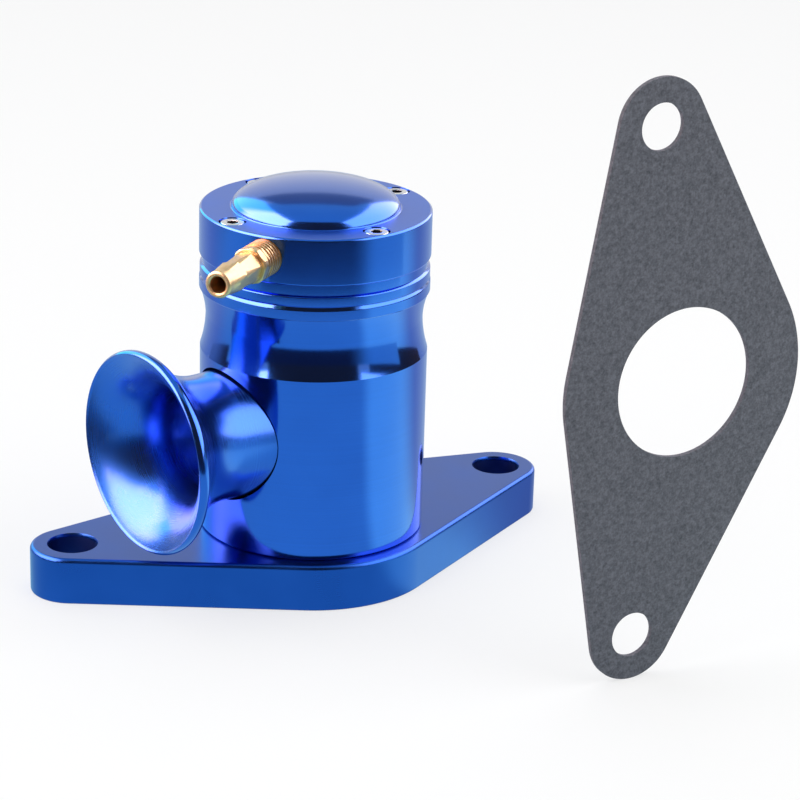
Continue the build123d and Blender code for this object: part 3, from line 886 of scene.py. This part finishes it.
def socket_test(k):
    """A test of whether a face is inside the six-sided socket of one of the screws, where shade is painted.
    """
    screw_x, screw_y = place_of(screw_azimuth + 90 * k, screw_circle_r)

    def in_socket(centre, normal):
        aside = math.hypot(centre.x / MM - screw_x, centre.y / MM - screw_y)
        return aside < socket_r + 0.02 and cap_top - 1.6 < centre.z / MM < cap_top - 0.32

    return in_socket


def in_thread(centre, normal):
    """Whether a face slopes into a thread groove next to the cap; these faces get painted shade."""
    along = centre.dot(barrel) / MM - nipple_start
    return 0 < along < thread_length and 0.3 < abs(normal.dot(barrel)) < 0.97


# Every piece is made, painted and put on its body

flange = make_flange()
wear(flange, blue_flange, blue_painted_shade_bore)
# The bolt hole walls get the dark blue: painted shade inside the holes.
paint(flange, 1, in_bolt_hole)
stand_for(flange, "base", "blue_anodised", "flange_base")

shell = make_body()
wear(shell, blue_polished, blue_painted_shade_bore)
# The wall of the hole round the trumpet gets the dark blue: painted shade in the gap between body and
# trumpet.
paint(shell, 1, in_outlet_hole)
stand_for(shell, "housing", "blue_anodised", "valve_body")

horn = make_trumpet()
wear(horn, blue_horn, blue_satin, blue_rim)
paint(horn, 1, inside_flare)
paint(horn, 2, on_rim)
stand_for(horn, "housing", "blue_anodised_bell", "trumpet")

cap = make_cap()
wear(cap, blue_cap, blue_faced)
paint(cap, 1, on_cap_face)
stand_for(cap, "housing", "blue_anodised", "top_cap")

for k, screw in enumerate(make_cap_screws()):
    wear(screw, bright_steel, black_oxide_and_socket_shade_steel)
    # The socket walls get dark steel: painted shade inside the hex sockets.
    paint(screw, 1, socket_test(k))
    stand_for(screw, "housing", "bright_steel", "cap_screws")

nipple = make_nipple()
wear(nipple, brass, brass_painted_shade_roots)
# The thread grooves are painted darker: painted shade in the thread roots.
paint(nipple, 1, in_thread)
stand_for(nipple, "housing", "brass", "vacuum_nipple")

gasket = make_gasket()
wear(gasket, fibre)
stand_for(gasket, "base", "gasket_fibre", "flange_gasket")
gasket.visible_glossy = False

spring = make_spring()
wear(spring, spring_steel)
stand_for(spring, "housing", "spring_steel", "return_spring")
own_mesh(spring)

# The solids shown as they are
carried_over = {
    "base_lock_screws": black_oxide_and_socket_shade_steel, "base_o_ring": rubber, "trumpet_o_ring": rubber, "cap_o_ring": rubber,
    "upper_spring_washer": bright_steel, "lower_spring_washer": bright_steel, "piston": plain_aluminium,
    "piston_o_ring": rubber, "piston_guide_ring": white_plastic, "nose_seal": rubber,
    "seal_retainer": plain_aluminium, "retainer_screw": bright_steel,
}
for node, material in carried_over.items():
    wear(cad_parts[node], material)


# Stage, lights and camera. Angles round the object are counted from the camera's side.

camera_place = Vector((-0.2369, -0.4469, 0.2212))
camera_azimuth = math.degrees(math.atan2(camera_place.y, camera_place.x))


def calculate(tree, operation, *values, clamp=False):
    """The result of a math node on values that are numbers or other nodes' outputs."""
    node = tree.nodes.new("ShaderNodeMath")
    node.operation = operation
    node.use_clamp = clamp
    for socket, value in zip(node.inputs, values):
        if isinstance(value, float):
            socket.default_value = value
        else:
            tree.links.new(value, socket)
    return node.outputs["Value"]


def glow_material(name, colour, changes=(), signed=False):
    """The material of a glowing card, whose colour can change with the angle from the camera's side.

    Each change is (first angle, last angle, colour) and fades in between its angles. Changes go to both
    sides alike, but with signed the first one goes only to the right."""
    material = bpy.data.materials.new(name)
    material.use_nodes = True
    tree = material.node_tree
    tree.nodes.clear()
    out = tree.nodes.new("ShaderNodeOutputMaterial")
    glow = tree.nodes.new("ShaderNodeEmission")
    tree.links.new(glow.outputs["Emission"], out.inputs["Surface"])
    glow.inputs["Color"].default_value = (*colour, 1)
    if not changes:
        return material
    place = tree.nodes.new("ShaderNodeTexCoord")
    turn = tree.nodes.new("ShaderNodeMapping")
    turn.inputs["Rotation"].default_value = (0, 0, -math.radians(camera_azimuth))
    split = tree.nodes.new("ShaderNodeSeparateXYZ")
    tree.links.new(place.outputs["Object"], turn.inputs["Vector"])
    tree.links.new(turn.outputs["Vector"], split.inputs["Vector"])
    angle = calculate(tree, "ARCTAN2", split.outputs["Y"], split.outputs["X"])
    both = calculate(tree, "ABSOLUTE", angle)
    tone = None
    for first, last, next_colour in changes:
        soft = tree.nodes.new("ShaderNodeMapRange")
        soft.interpolation_type = "SMOOTHSTEP"
        soft.inputs["From Min"].default_value = math.radians(first)
        soft.inputs["From Max"].default_value = math.radians(last)
        source = angle if signed and tone is None else both
        tree.links.new(source, soft.inputs["Value"])
        mix = tree.nodes.new("ShaderNodeMix")
        mix.data_type = "RGBA"
        mix.inputs["A"].default_value = (*colour, 1)
        mix.inputs["B"].default_value = (*next_colour, 1)
        tree.links.new(soft.outputs["Result"], mix.inputs["Factor"])
        if tone is not None:
            tree.links.new(tone, mix.inputs["A"])
        tone = mix.outputs["Result"]
    tree.links.new(tone, glow.inputs["Color"])
    return material


def only_reflected(card):
    """The card shows in reflections alone: it lights nothing, shades nothing and isn't seen."""
    card.visible_camera = False
    card.visible_diffuse = False
    card.visible_shadow = False
    card.visible_transmission = False
    card.visible_volume_scatter = False


def from_camera(angle, distance, height):
    """A point in metres at this angle from the camera's side."""
    a = math.radians(camera_azimuth + angle)
    return distance * math.cos(a), distance * math.sin(a), height


def card_through(name, corners, material):
    """A flat four-cornered card: a square whose corners are pulled to their places, in turn."""
    clear_selection()
    bpy.ops.mesh.primitive_plane_add(size=1)
    card = bpy.context.object
    card.name = name
    for index, corner in zip((0, 1, 3, 2), corners):
        card.data.vertices[index].co = corner
    card.data.materials.append(material)
    only_reflected(card)


def upright_card(name, first, last, low, high, material):
    """An upright card between two (angle, distance) places, from one height to another."""
    card_through(name, [
        from_camera(*first, low), from_camera(*last, low),
        from_camera(*last, high), from_camera(*first, high),
    ], material)


def level_card(name, reach, height, material):
    """A level square card that reaches this far from the middle each way."""
    card_through(name, [
        (-reach, -reach, height), (reach, -reach, height), (reach, reach, height), (-reach, reach, height),
    ], material)


def curved_card(name, radius, low, high, first, last, material):
    """An upright card bent round the object: one edge spun about the middle."""
    clear_selection()
    bpy.ops.mesh.primitive_plane_add(size=MM)
    card = bpy.context.object
    card.name = name
    bpy.ops.object.mode_set(mode="EDIT")
    bpy.ops.mesh.select_mode(type="VERT")
    bpy.ops.mesh.merge(type="CENTER")
    bpy.ops.transform.translate(value=from_camera(first, radius, low))
    bpy.ops.mesh.extrude_vertices_move(TRANSFORM_OT_translate={"value": (0, 0, high - low)})
    bpy.ops.mesh.select_all(action="SELECT")
    bpy.ops.mesh.spin(steps=48, angle=-math.radians(last - first), center=(0, 0, 0), axis=(0, 0, 1))
    bpy.ops.object.mode_set(mode="OBJECT")
    card.data.materials.append(material)
    only_reflected(card)


def softbox_end(angle):
    """The place at this angle on the softboxes' planes, which stand 0.55 m to either side."""
    return angle, 0.55 / math.sin(math.radians(abs(angle)))


def pale_floor():
    """A matt pale floor that is lifted towards white where the camera sees it directly."""
    material, tree, shader = new_material("pale floor")
    shader.inputs["Base Color"].default_value = (0.9, 0.9, 0.9, 1)
    shader.inputs["Roughness"].default_value = 0.9
    shader.inputs["Specular IOR Level"].default_value = 0.1
    rays = tree.nodes.new("ShaderNodeLightPath")
    white = tree.nodes.new("ShaderNodeEmission")
    mix = tree.nodes.new("ShaderNodeMixShader")
    share = calculate(tree, "MULTIPLY", rays.outputs["Is Camera Ray"], 0.65)
    tree.links.new(share, mix.inputs["Fac"])
    tree.links.new(shader.outputs["BSDF"], mix.inputs[1])
    tree.links.new(white.outputs["Emission"], mix.inputs[2])
    tree.links.new(mix.outputs["Shader"], tree.nodes["Material Output"].inputs["Surface"])
    return material


def soft_lamp(name, angle, distance, height, size, power):
    """A large soft lamp that looks at the object and doesn't show in reflections."""
    light = bpy.data.lights.new(name, "AREA")
    light.shape = "SQUARE"
    light.size = size
    light.energy = power
    lamp = bpy.data.objects.new(name, light)
    bpy.context.scene.collection.objects.link(lamp)
    lamp.location = from_camera(angle, distance, height)
    aim = Vector((0, 0, 0.04)) - lamp.location
    lamp.rotation_euler = aim.to_track_quat("-Z", "Y").to_euler()
    lamp.visible_glossy = False


def light_world():
    """A world that is white where it is seen or reflected, and lights the scene a little less."""
    world = bpy.data.worlds.new("studio")
    bpy.context.scene.world = world
    world.use_nodes = True
    sky = world.node_tree
    sky.nodes.clear()
    out = sky.nodes.new("ShaderNodeOutputWorld")
    plain = sky.nodes.new("ShaderNodeBackground")
    plain.inputs["Strength"].default_value = 0.6
    white = sky.nodes.new("ShaderNodeBackground")
    white.inputs["Strength"].default_value = 1.0
    choose = sky.nodes.new("ShaderNodeMixShader")
    rays = sky.nodes.new("ShaderNodeLightPath").outputs
    seen = calculate(sky, "ADD", rays["Is Camera Ray"], rays["Is Glossy Ray"], clamp=True)
    seen = calculate(sky, "ADD", seen, rays["Is Transmission Ray"], clamp=True)
    sky.links.new(seen, choose.inputs["Fac"])
    sky.links.new(plain.outputs["Background"], choose.inputs[1])
    sky.links.new(white.outputs["Background"], choose.inputs[2])
    sky.links.new(choose.outputs["Shader"], out.inputs["Surface"])


near_floor = (0.34, 0.71, 0.87)
right_floor = (0.73, 1.31, 1.28)
back_floor = (0.33, 0.46, 0.70)
right_glow = glow_material("softbox, right", (3.1, 2.9, 3.3))
left_glow = glow_material("softbox, left", (8.8, 5.5, 5.5), [(100, 125, (0.5, 2.2, 2.0))])
left_glow_high = glow_material("softbox, left above", (8.8, 5.5, 5.5), [(108, 135, (0.9, 2.5, 2.6))])
left_cloth = glow_material("dark cloth, left", (0.08, 0.05, 0.045), [(92, 116, (0.25, 0.35, 0.5))])
dark_cloth = glow_material("dark cloth", (0.08, 0.05, 0.045))
low_cloth = glow_material(
    "dark cloth, fading aside", (0.05, 0.045, 0.07), [(33, 66, near_floor), (44, 70, near_floor)],
    signed=True,
)
blue_cloth = glow_material("grey-blue cloth", (0.22, 0.26, 0.34))
floor_card = glow_material(
    "blue floor card", near_floor, [(44, 58, right_floor), (90, 120, back_floor)], signed=True
)
ceiling_card = glow_material("blue ceiling", (0.30, 0.62, 0.77))

upright_card("softbox_right", softbox_end(48), softbox_end(153), 0.125, 1.05, right_glow)
upright_card("softbox_left_low", softbox_end(-40), softbox_end(-155), 0.125, 0.32, left_glow)
upright_card("softbox_left_high", softbox_end(-40), softbox_end(-155), 0.32, 1.2, left_glow_high)
curved_card("low_front_cloth", 0.2, 0.001, 0.045, -92, 92, low_cloth)
curved_card("low_right_cloth", 0.27, 0.0, 0.075, 56, 128, dark_cloth)
curved_card("low_left_cloth", 0.27, 0.0, 0.075, -122, -56, left_cloth)
# A dark sheet on the floor beside the trumpet, seen only in reflections: painted shade where the trumpet
# darkens the floor.
card_through("painted_floor_shade_near", [
    from_camera(-34, 0.108, 0.0004), from_camera(-75, 0.096, 0.0004),
    from_camera(-75, 0.14, 0.0004), from_camera(-34, 0.14, 0.0004),
], dark_cloth)
curved_card("low_outlet_cloth", 0.125, 0.0005, 0.015, -78, -44, dark_cloth)
upright_card("front_cloth_low", (-45, 0.74), (45, 0.74), -0.2, 0.23, dark_cloth)
card_through("front_cloth", [
    from_camera(-30, 0.75, -0.2), from_camera(33, 0.75, -0.2),
    from_camera(52, 0.85, 1.25), from_camera(-48, 0.85, 1.25),
], dark_cloth)
upright_card("back_top_cloth", (156, 1.0), (-157, 1.0), 0.72, 1.3, blue_cloth)
level_card("reflected_floor", 0.5, 0.0002, floor_card)
level_card("reflected_ceiling", 1.2, 1.31, ceiling_card)

clear_selection()
bpy.ops.mesh.primitive_plane_add(size=8)
floor = bpy.context.object
floor.name = "floor"
floor.data.materials.append(pale_floor())

soft_lamp("lamp_left", -70, 0.7, 0.6, 0.8, 3.2)
soft_lamp("lamp_right", 75, 0.7, 0.6, 0.8, 3.2)
soft_lamp("lamp_top", 180, 0.2, 1.0, 0.8, 3.0)

light_world()

# The camera and its own axes, fitted to the photograph
right = Vector((0.87319, -0.48663, 0.02715))
up = Vector((0.14752, 0.31698, 0.93690))
back = Vector((-0.46453, -0.81407, 0.34857))
lens = bpy.data.cameras.new("camera")
lens.lens = 128.62
lens.shift_x = 0.005
lens.sensor_width = 36
lens.clip_start = 0.01
camera = bpy.data.objects.new("camera", lens)
bpy.context.scene.collection.objects.link(camera)
camera.matrix_world = Matrix((
    (right.x, up.x, back.x, camera_place.x),
    (right.y, up.y, back.y, camera_place.y),
    (right.z, up.z, back.z, camera_place.z),
    (0, 0, 0, 1),
))
bpy.context.scene.camera = camera
bpy.context.scene.view_settings.view_transform = "Standard"
